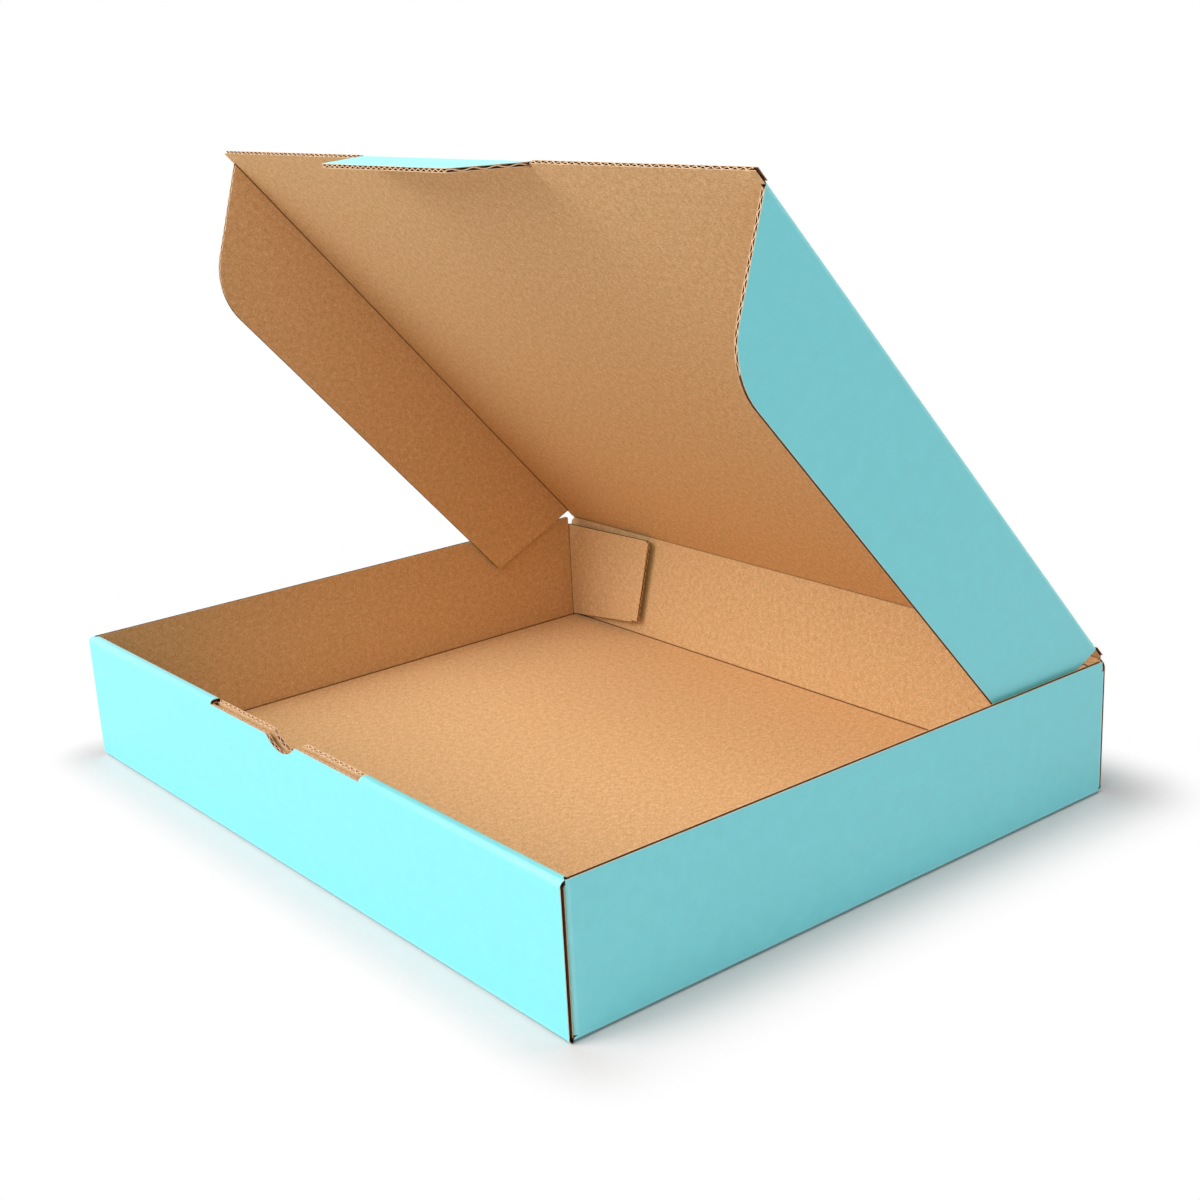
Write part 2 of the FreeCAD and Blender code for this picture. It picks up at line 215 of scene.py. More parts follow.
# %% Lamps
WORLD = 0.02
LAMPS = {                         # place, size in metres, watts
    "key_front_left": ((-0.9, -2.0, 1.5), 1.6, 43.0),
    "top_front": ((0.0, -1.4, 2.2), 1.6, 38.0),
    "top_rear": ((0.3, 1.8, 2.0), 1.6, 29.0),
    "left": ((-2.3, 0.0, 1.2), 1.4, 3.0),
    "front_right": ((1.5, -1.9, 1.2), 1.4, 8.5),
    "right": ((2.3, 0.2, 0.9), 1.4, 9.0),
}
AIM = Vector((0, 0, 0.05))
for name, (place, size, watts) in LAMPS.items():
    lamp = bpy.data.lights.new(name, "AREA")
    lamp.shape = "SQUARE"
    lamp.size = size
    lamp.energy = watts
    holder = bpy.data.objects.new(name, lamp)
    holder.location = place
    holder.rotation_euler = (AIM - Vector(place)).to_track_quat("-Z", "Y").to_euler()
    scene.collection.objects.link(holder)

world = bpy.data.worlds.new("white_tent")
scene.world = world
world.use_nodes = True
tree = world.node_tree
tree.nodes.clear()
seen = seen_or_mirrored(tree)
level = add(tree, "ShaderNodeMapRange", links={
    "Value": seen.outputs[0], "To Min": WORLD, "To Max": 1.0})
sky = add(tree, "ShaderNodeBackground", links={
    "Color": (1, 1, 1, 1), "Strength": level.outputs[0]})
add(tree, "ShaderNodeOutputWorld", links={"Surface": sky.outputs[0]})
print(len(LAMPS), "lamps and a world of", WORLD)

# %% [markdown]
# ## Printed liner
# The outside of the sheet is kraft paper under one flat field of water-based ink with a satin
# varnish. Ink on corrugated board is never quite even: it lies a little thicker and thinner in
# soft patches a few millimetres across, and where the board is folded it stretches and pales.
# The paler folds are also a painted highlight, for the light that a rounded fold catches.
# The fold shows through an attribute that the mesh carries.

# %% Printed liner
PRINT = "#7ee9f1"
# paler at the folds: ink stretched there, and a painted highlight along the folds
PRINT_FOLD_PALE_AND_HIGHLIGHT = "#90eef5"
print_finish, tree = new_material("cyan_satin_ink_on_kraft_liner")
blank_map = add(tree, "ShaderNodeUVMap", {"uv_map": "blank"})
crease = add(tree, "ShaderNodeAttribute", {"attribute_name": "crease"})
# ink mottle: patches of about 6 mm, and a fine tooth of about 0.4 mm from the paper below
patches = add(tree, "ShaderNodeTexNoise", links={
    "Vector": blank_map.outputs[0], "Scale": 160.0, "Detail": 3.0, "Roughness": 0.6})
tooth = add(tree, "ShaderNodeTexNoise", links={
    "Vector": blank_map.outputs[0], "Scale": 2400.0, "Detail": 2.0})
shade = add(tree, "ShaderNodeMapRange", links={
    "Value": patches.outputs[0], "From Min": 0.3, "From Max": 0.7, "To Min": 0.975, "To Max": 1.02})
# the folds are painted paler: stretched ink, and a painted highlight
ink = add(tree, "ShaderNodeMix", {"data_type": "RGBA"}, {
    0: crease.outputs["Fac"], 6: linear(PRINT), 7: linear(PRINT_FOLD_PALE_AND_HIGHLIGHT)})
ink = add(tree, "ShaderNodeVectorMath", {"operation": "SCALE"}, {
    0: ink.outputs[2], "Scale": shade.outputs[0]})
gloss = add(tree, "ShaderNodeMapRange", links={
    "Value": patches.outputs[0], "From Min": 0.3, "From Max": 0.7, "To Min": 0.40, "To Max": 0.48})
relief = add(tree, "ShaderNodeBump", links={
    "Strength": 0.12, "Distance": 0.00004, "Height": tooth.outputs[0]})
surface = add(tree, "ShaderNodeBsdfPrincipled", links={
    "Base Color": ink.outputs[0], "Roughness": gloss.outputs[0], "IOR": 1.5,
    "Coat Weight": 0.7, "Coat Roughness": 0.45, "Coat IOR": 1.5, "Normal": relief.outputs[0]})
add(tree, "ShaderNodeOutputMaterial", links={"Surface": surface.outputs[0]})
print(print_finish.name)

# %% [markdown]
# ## Kraft paper
# Unbleached kraft is matt and fibrous. Its fibres lie mostly along the machine's run, across the
# flutes, so the grain is drawn about three times longer that way. Pale and dark fibres are a few
# tenths of a millimetre wide, drawn a little coarser than life so that they show.


# %% Kraft papers
def kraft_paper(name, base, dark, pale, contrast):
    """An uncoated brown paper with long fibres, mottled patches and a rough tooth."""
    paper, tree = new_material(name)
    blank_map = add(tree, "ShaderNodeUVMap", {"uv_map": "blank"})
    along = add(tree, "ShaderNodeMapping", links={
        "Vector": blank_map.outputs[0], "Scale": (0.35, 1.0, 1.0)})
    fibres = add(tree, "ShaderNodeTexNoise", links={
        "Vector": along.outputs[0], "Scale": 2500.0, "Detail": 4.0, "Roughness": 0.65})
    clouds = add(tree, "ShaderNodeTexNoise", links={
        "Vector": blank_map.outputs[0], "Scale": 420.0, "Detail": 3.0, "Roughness": 0.55})
    both = add(tree, "ShaderNodeMix", {"data_type": "FLOAT"}, {
        0: 0.25, 2: fibres.outputs[0], 3: clouds.outputs[0]})
    shade = add(tree, "ShaderNodeValToRGB", links={0: both.outputs[0]})
    ramp = shade.color_ramp
    ramp.elements[0].position, ramp.elements[0].color = 0.5 - contrast, linear(dark)
    ramp.elements[1].position, ramp.elements[1].color = 0.5 + contrast, linear(pale)
    middle = ramp.elements.new(0.5)
    middle.color = linear(base)
    # painted shade: the kraft is darkened along its folds, most in their inside corners, where
    # shade falls
    crease = add(tree, "ShaderNodeAttribute", {"attribute_name": "crease"})
    shade = add(tree, "ShaderNodeMix", {"data_type": "RGBA", "blend_type": "MULTIPLY"}, {
        0: crease.outputs["Fac"], 6: shade.outputs[0], 7: (0.30, 0.20, 0.14, 1)})
    relief = add(tree, "ShaderNodeBump", links={
        "Strength": 0.35, "Distance": 0.00008, "Height": fibres.outputs[0]})
    surface = add(tree, "ShaderNodeBsdfPrincipled", links={
        "Base Color": shade.outputs[2], "Roughness": 0.88, "IOR": 1.45,
        "Specular IOR Level": 0.1, "Normal": relief.outputs[0]})
    add(tree, "ShaderNodeOutputMaterial", links={"Surface": surface.outputs[0]})
    return paper


kraft_face = kraft_paper("kraft_liner_paper", "#ddb381", "#c89c69", "#efcc9e", 0.12)
# pale cut-edge paper; it also paints the lit inside of the slot's rims
kraft_edge = kraft_paper("kraft_cut_edge", "#e6c19a", "#cfa274", "#f2d6b6", 0.20)
# painted shade: the medium's waves and the liners' inner faces are dark brown, for the shade inside
# the board
kraft_inside_painted_shade = kraft_paper("kraft_inside_board_painted_shade", "#80583a", "#6a4529", "#956b4a", 0.22)
print(kraft_face.name, kraft_edge.name, kraft_inside_painted_shade.name)

# %% [markdown]
# ## From a flat sheet to a folded one
# The blank lies printed side down. A ply is cut from it as flat triangles at two heights, and
# then every point beyond a crease is swung up, the farthest creases first, as hands would fold
# it. The points inside the crease's own run of board go round the bend a little at a time. This
# keeps the layers parallel and the patterns on the paper running through the folds.


# %% Cutting a ply
def even_odd(points, loops):
    """True for the points inside the outlines, counting a hole as outside."""
    inside = np.zeros(len(points), bool)
    px, py = points.T
    for loop in loops:
        ring = np.array(loop, float)
        for (ax, ay), (bx, by) in zip(ring, np.roll(ring, -1, axis=0)):
            if ay != by:
                crosses = (ay > py) != (by > py)
                inside ^= crosses & (px < (bx - ax) * (py - ay) / (by - ay) + ax)
    return inside


def flat_triangles(loops, cuts):
    """The sheet inside these loops as triangles, with edges along the cut lines."""
    points, edges = [], []
    for loop in loops:
        first = len(points)
        points += [Vector(p) for p in loop]
        edges += [(first + i, first + (i + 1) % len(loop)) for i in range(len(loop))]
    for a, b in cuts:
        edges.append((len(points), len(points) + 1))
        points += [Vector(a), Vector(b)]
    found = delaunay_2d_cdt(points, edges, [], 0, 1e-5)
    flat = np.array([p[:] for p in found[0]])
    corners = np.array([list(f) for f in found[2]])
    corners = corners[even_odd(flat[corners].mean(axis=1), loops)]
    a, b, c = (flat[corners[:, i]] for i in range(3))
    area = (b[:, 0] - a[:, 0]) * (c[:, 1] - a[:, 1]) - (b[:, 1] - a[:, 1]) * (c[:, 0] - a[:, 0])
    corners = corners[np.abs(area) > 1e-9]
    area = area[np.abs(area) > 1e-9]
    corners[area < 0] = corners[area < 0][:, ::-1]
    used, corners = np.unique(corners, return_inverse=True)
    return flat[used], corners.reshape(-1, 3)


def ply(flat, corners, low, high, materials):
    """One paper ply of the flat sheet: its lower face, upper face and rim, each with a material."""
    count = len(flat)
    solid = np.vstack([np.c_[flat, np.full(count, low)], np.c_[flat, np.full(count, high)]])
    sides = {tuple(e) for t in corners for e in (t[:2], t[1:], (t[2], t[0]))}
    rim = sorted(e for e in sides if (e[1], e[0]) not in sides)
    faces = [tuple(t[::-1]) for t in corners] + [tuple(t + count) for t in corners]
    faces += [(a, b, b + count, a + count) for a, b in rim]
    kinds = [k for kind, many in zip(materials, (corners, corners, rim))
             for k in np.broadcast_to(kind, len(many))]
    return {"points": solid, "faces": faces, "kinds": kinds}


# %% Folding
def fold_up(blank, points, axis, start, side=1, where=None, crease=None):
    """Folds up the board beyond a crease, by a right angle. The blank says what lies beyond."""
    beyond = side * blank[:, axis] - start
    moves = beyond > 0
    if where is not None:
        moves &= where
    turn = np.clip(beyond / FOLD_RUN, 0, 1) * math.pi / 2
    extra = np.where(beyond > FOLD_RUN, side * points[:, axis] - start - FOLD_RUN, 0)
    radius = FOLD - points[:, 2]
    along = start + radius * np.sin(turn) + extra * np.cos(turn)
    up = FOLD - radius * np.cos(turn) + extra * np.sin(turn)
    points[moves, axis] = side * along[moves]
    points[moves, 2] = up[moves]
    if crease is not None:
        near = FOLD_RUN / 2 + CREASE_EDGE - np.abs(beyond - FOLD_RUN / 2)
        here = np.clip(near / CREASE_EDGE, 0, 1)
        if where is not None:
            here = np.where(where, here, 0)
        np.maximum(crease, here, out=crease)


def bend_lines(axis, start, side, low, high, steps=8):
    """Cut lines across a fold's run of board, with one on each side to keep the panels flat."""
    offsets = [FOLD_RUN * i / steps for i in range(steps + 1)]
    offsets = [-CREASE_EDGE] + offsets + [FOLD_RUN + CREASE_EDGE]
    lines = []
    for offset in offsets:
        at = side * (start + offset)
        ends = ((low, at), (high, at)) if axis == 1 else ((at, low), (at, high))
        lines.append(ends)
    return lines


def rounded(outline):
    """An outline of (x, y, radius) corners as plain points, with each rounded corner as an arc."""
    result = []
    count = len(outline)
    for i, (x, y, radius) in enumerate(outline):
        corner = Vector((x, y))
        if radius == 0:
            result.append((x, y))
            continue
        back = (Vector(outline[i - 1][:2]) - corner).normalized()
        ahead = (Vector(outline[(i + 1) % count][:2]) - corner).normalized()
        half = back.angle(ahead) / 2
        centre = corner + (back + ahead).normalized() * radius / math.sin(half)
        start = corner + back * radius / math.tan(half) - centre
        sweep = math.pi - 2 * half
        turn = 1 if back.x * ahead.y - back.y * ahead.x < 0 else -1
        steps = max(3, int(radius * sweep / 0.8))
        for k in range(steps + 1):
            arm = start.copy()
            arm.rotate(Matrix.Rotation(turn * sweep * k / steps, 2))
            result.append(tuple(centre + arm))
    return result


print("a right-angle fold takes", round(FOLD_RUN, 2), "mm of board")

# %% [markdown]
# ## The tray's blank
# Seen from above with the front at the bottom: the floor in the middle, the double front wall
# below it, the rear wall above it, and the side walls left and right with their front corner
# tabs. The names count the creases outwards from the floor.

# %% Tray blank
SIDE_UP = SIDE_CREASE + FOLD_RUN            # blank x of a side wall at the top of its fold
END_UP = END_CREASE + FOLD_RUN
WALL_TOP = END_UP + HEIGHT - 2 * FOLD       # where the roll-over strip's first bend begins
STRIP_START = WALL_TOP + FOLD_RUN
STRIP_END = STRIP_START + STRIP
PANEL_TOP = STRIP_END + FOLD_RUN
PANEL_LOW = PANEL_TOP + HEIGHT - FOLD - 1.7
LUG_TIP = PANEL_LOW + 1.6
REAR_TOP = END_UP + HEIGHT - HINGE_GAP - FOLD
TAB_CREASE = 121.6                          # where a side wall turns into its corner tab
HALF_BEND = TAB_CREASE + 0.45 * FOLD_RUN    # the bend is full height until it meets the strip
KERF = 0.2
IN_SIDE = SIDE + 0.1                        # the blank beyond this belongs to the side walls
LUG_MIDDLE, LUG_HALF = 88.0, 15.0
LUG_SLOT_GAP = 0.3
LUG_SLOT_FROM, LUG_SLOT_TO = -122.0, -119.9
CORNER_TAB_END, CORNER_TAB_TAPER = 97.0, 8.0
CORNER_TAB_LOW = 2.1                        # its lower edge clears the floor's fold
REAR_TOP_CORNER = 3.2


def wall_x(height):
    """Blank x of a side wall at a height above the floor."""
    return SIDE_UP + height - FOLD


print("the side walls end at blank x", round(wall_x(HEIGHT), 2))

# %% [markdown]
# The tuck slot is one hole in the flat sheet that runs over both bends of the strip. Its lower
# edge on each panel carries half of a circle for the thumb, with a small lip at each end.

# %% Slot and thumb notch
SLOT_HALF = 50.5
OUTER_DROP, INNER_DROP = 1.5, 0.9           # the slot's edges below the top of the front wall
NOTCH_WIDTH, NOTCH_DEPTH, NOTCH_LIP = 19.7, 4.5, 1.2
NOTCH_REACH = 12                            # half the notch with its lips, rounded up
RIM = 2                                     # the board beside the slot that light reaches


def mouth(edge, blank_y):
    """The slot's edge on one front panel, left to right, with the thumb notch in its middle."""
    lip = NOTCH_LIP
    radius = (NOTCH_WIDTH ** 2 / 4 + NOTCH_DEPTH ** 2) / (2 * NOTCH_DEPTH)
    middle = HEIGHT - OUTER_DROP - NOTCH_DEPTH + radius
    lip_x = math.sqrt((radius + lip) ** 2 - (middle - edge + lip) ** 2)
    touch = math.atan2(middle - edge + lip, lip_x)
    points = [(SLOT_HALF, edge)]
    for k in range(6):
        a = math.pi / 2 + (math.pi / 2 - touch) * k / 5
        points.append((lip_x + lip * math.cos(a), edge - lip + lip * math.sin(a)))
    for k in range(1, 13):
        a = touch + (math.pi / 2 - touch) * k / 12
        points.append((radius * math.cos(a), middle - radius * math.sin(a)))
    points = [(-x, z) for x, z in points] + [(x, z) for x, z in points[-2::-1]]
    return [(x, blank_y(z)) for x, z in points]


def rise(z):
    """The part of a fold's run that lies above the flat wall, up to a height in the bend."""
    return FOLD_RUN * math.asin(max(z - HEIGHT + FOLD, 0) / FOLD) / (math.pi / 2)


def outer_panel_y(z):
    """Blank y of a height on the outer front panel."""
    return -(WALL_TOP + min(z - HEIGHT + FOLD, 0) + rise(z))


def inner_panel_y(z):
    """Blank y of a height on the inner front panel, which hangs from the strip."""
    return -(PANEL_TOP - min(z - HEIGHT + FOLD, 0) - rise(z))


slot_mouth = (mouth(HEIGHT - OUTER_DROP, outer_panel_y)
              + mouth(HEIGHT - INNER_DROP, inner_panel_y)[::-1])
print("slot", 2 * SLOT_HALF, "mm long, with", len(slot_mouth), "points")

# %% [markdown]
# The outline runs up the right half of the sheet, from the inner front panel to the rear wall,
# and the left half mirrors it. Cut lines keep each fold's run of board apart from its panels.


# %% Tray outline
def tab_end(z):
    """Blank y of the front corner tab's free end, which is cut back towards the floor."""
    taper = CORNER_TAB_TAPER * (1 - z / (HEIGHT - FOLD))
    return -(TAB_CREASE + FOLD_RUN + SIDE_CREASE - CORNER_TAB_END - taper)


top_of_tab = HEIGHT - FOLD
lug_from, lug_to = LUG_MIDDLE - LUG_HALF, LUG_MIDDLE + LUG_HALF
right_edge = [
    (lug_from, -PANEL_LOW, 0), (lug_from, -LUG_TIP, 0),
    (lug_to, -LUG_TIP, 0), (lug_to, -PANEL_LOW, 0),
    (INNER_PANEL_END, -PANEL_LOW, 0), (INNER_PANEL_END, -STRIP_END, 0),
    (SIDE, -STRIP_START, 0), (SIDE, -END_CREASE, 0), (SIDE_CREASE, -END_CREASE, 0),
    (SIDE_UP, -END_CREASE + KERF, 0), (SIDE_UP + 0.3, -TAB_CREASE, 0),
    (wall_x(CORNER_TAB_LOW), -TAB_CREASE - KERF, 0),
    (wall_x(CORNER_TAB_LOW), tab_end(CORNER_TAB_LOW), 1.0),
    (wall_x(top_of_tab), tab_end(top_of_tab), 1.0), (wall_x(top_of_tab), -HALF_BEND, 0),
    (wall_x(HEIGHT), -HALF_BEND, 0), (wall_x(HEIGHT), SIDE_WALL_REAR, 0),
    (SIDE_UP + 0.1, SIDE_WALL_REAR, 0), (SIDE_UP, END_CREASE - KERF, 0),
    (SIDE_CREASE, END_CREASE, 0), (REAR_WALL_END, END_CREASE, 0),
    (REAR_WALL_END, REAR_TOP, REAR_TOP_CORNER),
]
half_outline = rounded([(0, -PANEL_LOW, 0)] + right_edge + [(0, REAR_TOP, 0)])[1:-1]
tray_outline = half_outline + [(-x, y) for x, y in reversed(half_outline)]
lug_room = LUG_HALF + LUG_SLOT_GAP
lug_slots = [[(x - lug_room, LUG_SLOT_FROM), (x + lug_room, LUG_SLOT_FROM),
              (x + lug_room, LUG_SLOT_TO), (x - lug_room, LUG_SLOT_TO)]
             for x in (-LUG_MIDDLE, LUG_MIDDLE)]
tray_cuts = [line for start in (END_CREASE, WALL_TOP, STRIP_END)
             for line in bend_lines(1, start, -1, -SIDE, SIDE)]
tray_cuts += bend_lines(1, END_CREASE, 1, -SIDE, SIDE)
for side in (-1, 1):
    tray_cuts += bend_lines(0, SIDE_CREASE, side, -END_CREASE, END_CREASE)
    low, high = sorted((side * (SIDE_UP + 0.3), side * wall_x(HEIGHT)))
    tray_cuts += bend_lines(1, TAB_CREASE, -1, low, high)
print(len(tray_outline), "points round the tray's outline,", len(tray_cuts), "cut lines")


# %% Folding the tray
def slot_rims(points, below=0.0):
    """True in the bends at the slot's edges, which were cut clean, and a little below them."""
    x, y = np.abs(points[..., 0]), np.abs(points[..., 1])
    return (x < SLOT_HALF + 0.01) & (y > WALL_TOP - below - 0.001) & (y < PANEL_TOP + below + 0.001)


def fold_tray(blank):
    """The tray's blank folded up, and how far each point lies in a crease, from 0 to 1."""
    points = blank.copy()
    crease = np.zeros(len(blank))
    far = np.abs(blank[:, 0]) > IN_SIDE
    level = np.abs(blank[:, 1]) <= END_CREASE + 1e-6
    fold_up(blank, points, 1, TAB_CREASE, -1, far, crease)
    for side in (-1, 1):
        fold_up(blank, points, 0, SIDE_CREASE, side, far | level, crease)
    for start in (STRIP_END, WALL_TOP, END_CREASE):
        fold_up(blank, points, 1, start, -1, ~far, crease)
    fold_up(blank, points, 1, END_CREASE, 1, ~far, crease)
    crease[slot_rims(blank)] = 0
    return points, crease


# %% Hollow edges and the tray's flat sheet
HOLLOW = 1.4                # beside an edge that runs along the flutes the last flute is torn open
for x, y_from, y_to in ((SIDE, -STRIP_START, -END_UP), (REAR_WALL_END, END_UP, REAR_TOP),
                        (wall_x(HEIGHT), -TAB_CREASE, SIDE_WALL_REAR)):
    tray_cuts += [((s * (x - HOLLOW), y_from), (s * (x - HOLLOW), y_to)) for s in (-1, 1)]


def hollow_in_tray(x, y):
    """True at the open rims of the tray's walls, for distances from the blank's middle lines."""
    ends = (x > REAR_WALL_END - HOLLOW) & (x < SIDE) & (y > END_CREASE)
    return (x > wall_x(HEIGHT) - HOLLOW) | ends


outer_rim, inner_rim = RIM - WALL_TOP, -PANEL_TOP - RIM
tray_cuts += [((s * SLOT_HALF, y_from), (s * SLOT_HALF, y_to)) for s in (-1, 1)
              for y_from, y_to in ((-STRIP_START, outer_rim), (inner_rim, -STRIP_END))]
tray_cuts += [((s * SLOT_HALF, y), (s * NOTCH_REACH, y)) for s in (-1, 1)
              for y in (outer_rim, inner_rim)]
tray_flat = flat_triangles([tray_outline, slot_mouth] + lug_slots, tray_cuts)
print("tray blank", np.ptp(tray_flat[0], axis=0).round(1), "mm,", len(tray_flat[1]), "triangles")

# %% [markdown]
# ## The lid, its tuck tab and the corner flaps
# They are parts of the same sheet, but each turns on its own crease, so each is a piece. The lid
# is folded flat and shut first and then swung open about its crease, as the CAD part is.

# %% Lid, tab and flap blanks
EAR_REAR, EAR_FRONT = 5.0, LID_REACH - 5.25
EAR_DEPTH = 46
EAR_REAR_SLANT, EAR_FRONT_SLANT = 0.31, 0.60     # mm along the lid for each mm down the ear
EAR_CURVE = 28.0
EAR_UP = LID_CREASE + FOLD_RUN
EAR_TIP = EAR_UP + (EAR_DEPTH - 1.0)
TAB_HALF, TAB_TIP_HALF, TAB_DEPTH, TAB_SHOULDER = 49.5, 37.9, 24.5, 1.6
RECESS_HALF = 50.3
RECESS = LID_REACH - 1.95                        # the lid is cut back beside the tab's crease
ear_edge = [
    (LID_SIDE, 0, 0), (LID_SIDE, EAR_REAR, 0), (LID_CREASE, EAR_REAR, 0),
    (EAR_UP, EAR_REAR + EAR_REAR_SLANT, 0), (EAR_TIP, EAR_REAR + EAR_REAR_SLANT * EAR_DEPTH, 0),
    (EAR_TIP, EAR_FRONT - EAR_FRONT_SLANT * EAR_DEPTH, EAR_CURVE),
    (EAR_UP, EAR_FRONT - EAR_FRONT_SLANT, 0),
    (LID_CREASE, EAR_FRONT, 0), (LID_SIDE, EAR_FRONT, 0), (LID_SIDE, LID_REACH, 0),
    (RECESS_HALF, LID_REACH, 0), (RECESS_HALF, RECESS, 0),
]
half_outline = rounded([(0, 0, 0)] + ear_edge + [(0, RECESS, 0)])[1:-1]
lid_outline = half_outline + [(-x, y) for x, y in reversed(half_outline)]
lid_cuts = [line for side in (-1, 1) for line in bend_lines(0, LID_CREASE, side, 0, LID_REACH)]
tab_outline = rounded([
    (-TAB_HALF, 0, 0), (TAB_HALF, 0, 0), (TAB_HALF, TAB_SHOULDER, 0),
    (TAB_TIP_HALF, TAB_DEPTH, 1.0), (-TAB_TIP_HALF, TAB_DEPTH, 1.0), (-TAB_HALF, TAB_SHOULDER, 0)])
# a corner flap's corners: height up the wall, and distance from its crease
flap_outline = rounded([(wall_x(2.1), 0, 0), (wall_x(8.1), 46.5, 0), (wall_x(9.1), 46.5, 0),
                        (wall_x(9.1), 50.5, 0), (wall_x(50.4), 62.0, 1.5), (wall_x(47.4), 0, 0)])
LID_FROM = REAR_TOP + HINGE_GAP + BOARD / 2      # blank y of the lid's crease
TAB_FROM = LID_FROM + HINGE[0] - TUCK_Y


def turned(points, pivot, angle, axes):
    """Points turned about a pivot in the plane of two axes, the first towards the second."""
    a, b = axes
    da, db = points[:, a] - pivot[0], points[:, b] - pivot[1]
    result = points.copy()
    result[:, a] = pivot[0] + da * math.cos(angle) - db * math.sin(angle)
    result[:, b] = pivot[1] + da * math.sin(angle) + db * math.cos(angle)
    return result


def open_lid(points):
    """Points of the shut lid, swung up about its crease to where it stands."""
    return turned(points, HINGE, -LID_OPENING, (1, 2))


def fold_lid(blank):
    """The lid's blank with its ears folded, turned over onto the box and opened."""
    points = blank.copy()
    crease = np.zeros(len(blank))
    ears = (blank[:, 1] > EAR_REAR + 0.001) & (blank[:, 1] < EAR_FRONT - 0.001)
    for side in (-1, 1):
        fold_up(blank, points, 0, LID_CREASE, side, ears, crease)
    shut = np.c_[points[:, 0], HINGE[0] - points[:, 1], HINGE[1] + BOARD / 2 - points[:, 2]]
    return open_lid(shut), crease


def fold_tab(blank):
    """The tab's blank bent down at the lid's front edge. It has no crease of its own."""
    level = np.c_[blank[:, 0], TUCK_Y - blank[:, 1], HINGE[1] + BOARD / 2 - blank[:, 2]]
    return open_lid(turned(level, (TUCK_Y, HINGE[1]), TAB_FOLD, (1, 2))), np.zeros(len(blank))


def fold_flap(blank):
    """The right corner flap's blank, standing a little off the rear wall."""
    height = blank[:, 0] - SIDE_UP + FOLD
    level = np.c_[FLAP_AXIS[0] - blank[:, 1], FLAP_AXIS[1] + BOARD - blank[:, 2], height]
    return turned(level, FLAP_AXIS, FLAP_STANDOFF, (0, 1)), np.zeros(len(blank))


lid_cuts += [((s * (x - HOLLOW), y_from), (s * (x - HOLLOW), y_to)) for s in (-1, 1)
             for x, y_from, y_to in (
                 (EAR_TIP, EAR_REAR, EAR_FRONT), (LID_SIDE, EAR_FRONT, LID_REACH),
                 (LID_SIDE, 0, EAR_REAR))]


def hollow_in_lid(x, y):
    """True at the lid's open rims: the ears' lower edges and the lid's bare sides."""
    ends = (y > EAR_FRONT) | (y < EAR_REAR)
    return (x > EAR_TIP - HOLLOW) | (ends & (x > LID_SIDE - HOLLOW))


lid_flat = flat_triangles([lid_outline], lid_cuts)
tab_flat = flat_triangles([tab_outline], [])
flap_flat = flat_triangles([flap_outline], [])
print("lid blank", np.ptp(lid_flat[0], axis=0).round(1), "mm")
print("tab blank", np.ptp(tab_flat[0], axis=0).round(1), "mm")

# %% [markdown]
# ## Fluting
# The wavy medium follows a rule, so Geometry Nodes make it: a grid is bent into a sine wave
# across the sheet, given the paper's thickness, and cut to the flat panels with a Boolean. The
# creases get none, because there the flutes are crushed, apart from those at the slot's edges,
# which were cut clean. The wave depends only on the place in the blank, so one panel's flutes
# line up with the next one's.

# %% Fluting tree: its inputs
FLUTING = {                       # in metres
    "Pitch": FLUTE_PITCH * MM,
    "Rise": (BOARD - 2 * LINER - MEDIUM - GLUE_GAP) * MM,
    "Paper": MEDIUM * MM,
    "Middle": (BOARD / 2 - MEDIUM / 2) * MM,
}
fluting = bpy.data.node_groups.new("fluted_medium", "GeometryNodeTree")
face = fluting.interface
face.new_socket("Panels", in_out="INPUT", socket_type="NodeSocketGeometry")
for name, value in FLUTING.items():
    socket = face.new_socket(name, in_out="INPUT", socket_type="NodeSocketFloat")
    socket.default_value = value
face.new_socket("Finish", in_out="INPUT", socket_type="NodeSocketMaterial")
face.new_socket("Medium", in_out="OUTPUT", socket_type="NodeSocketGeometry")
put = add(fluting, "NodeGroupInput").outputs
print("flutes of", round(FLUTING["Rise"] / MM, 2), "mm every", FLUTE_PITCH, "mm")

# %% Fluting tree: a grid the size of the panels
extent = add(fluting, "GeometryNodeBoundBox", links={0: put["Panels"]})
span = add(fluting, "ShaderNodeVectorMath", {"operation": "SUBTRACT"}, {
    0: extent.outputs["Max"], 1: extent.outputs["Min"]})
centre = add(fluting, "ShaderNodeVectorMath", {"operation": "ADD"}, {
    0: extent.outputs["Max"], 1: extent.outputs["Min"]})
centre = add(fluting, "ShaderNodeVectorMath", {"operation": "SCALE"}, {
    0: centre.outputs[0], "Scale": 0.5})
wide = add(fluting, "ShaderNodeSeparateXYZ", links={0: span.outputs[0]})
flutes = add(fluting, "ShaderNodeMath", {"operation": "DIVIDE"}, {
    0: wide.outputs[0], 1: put["Pitch"]})
columns = add(fluting, "ShaderNodeMath", {"operation": "MULTIPLY_ADD"}, {
    0: flutes.outputs[0], 1: 10.0, 2: 3.0})
margin = add(fluting, "ShaderNodeMath", {"operation": "ADD"}, {0: wide.outputs[0], 1: 0.001})
length = add(fluting, "ShaderNodeMath", {"operation": "ADD"}, {0: wide.outputs[1], 1: 0.001})
grid = add(fluting, "GeometryNodeMeshGrid", links={
    "Size X": margin.outputs[0], "Size Y": length.outputs[0],
    "Vertices X": columns.outputs[0], "Vertices Y": 2})
lift = add(fluting, "ShaderNodeCombineXYZ", links={2: put["Middle"]})
shift = add(fluting, "ShaderNodeVectorMath", {"operation": "ADD"}, {
    0: centre.outputs[0], 1: lift.outputs[0]})
placed = add(fluting, "GeometryNodeTransform", links={
    0: grid.outputs[0], "Translation": shift.outputs[0]})
print("grid in", len(fluting.nodes), "nodes")

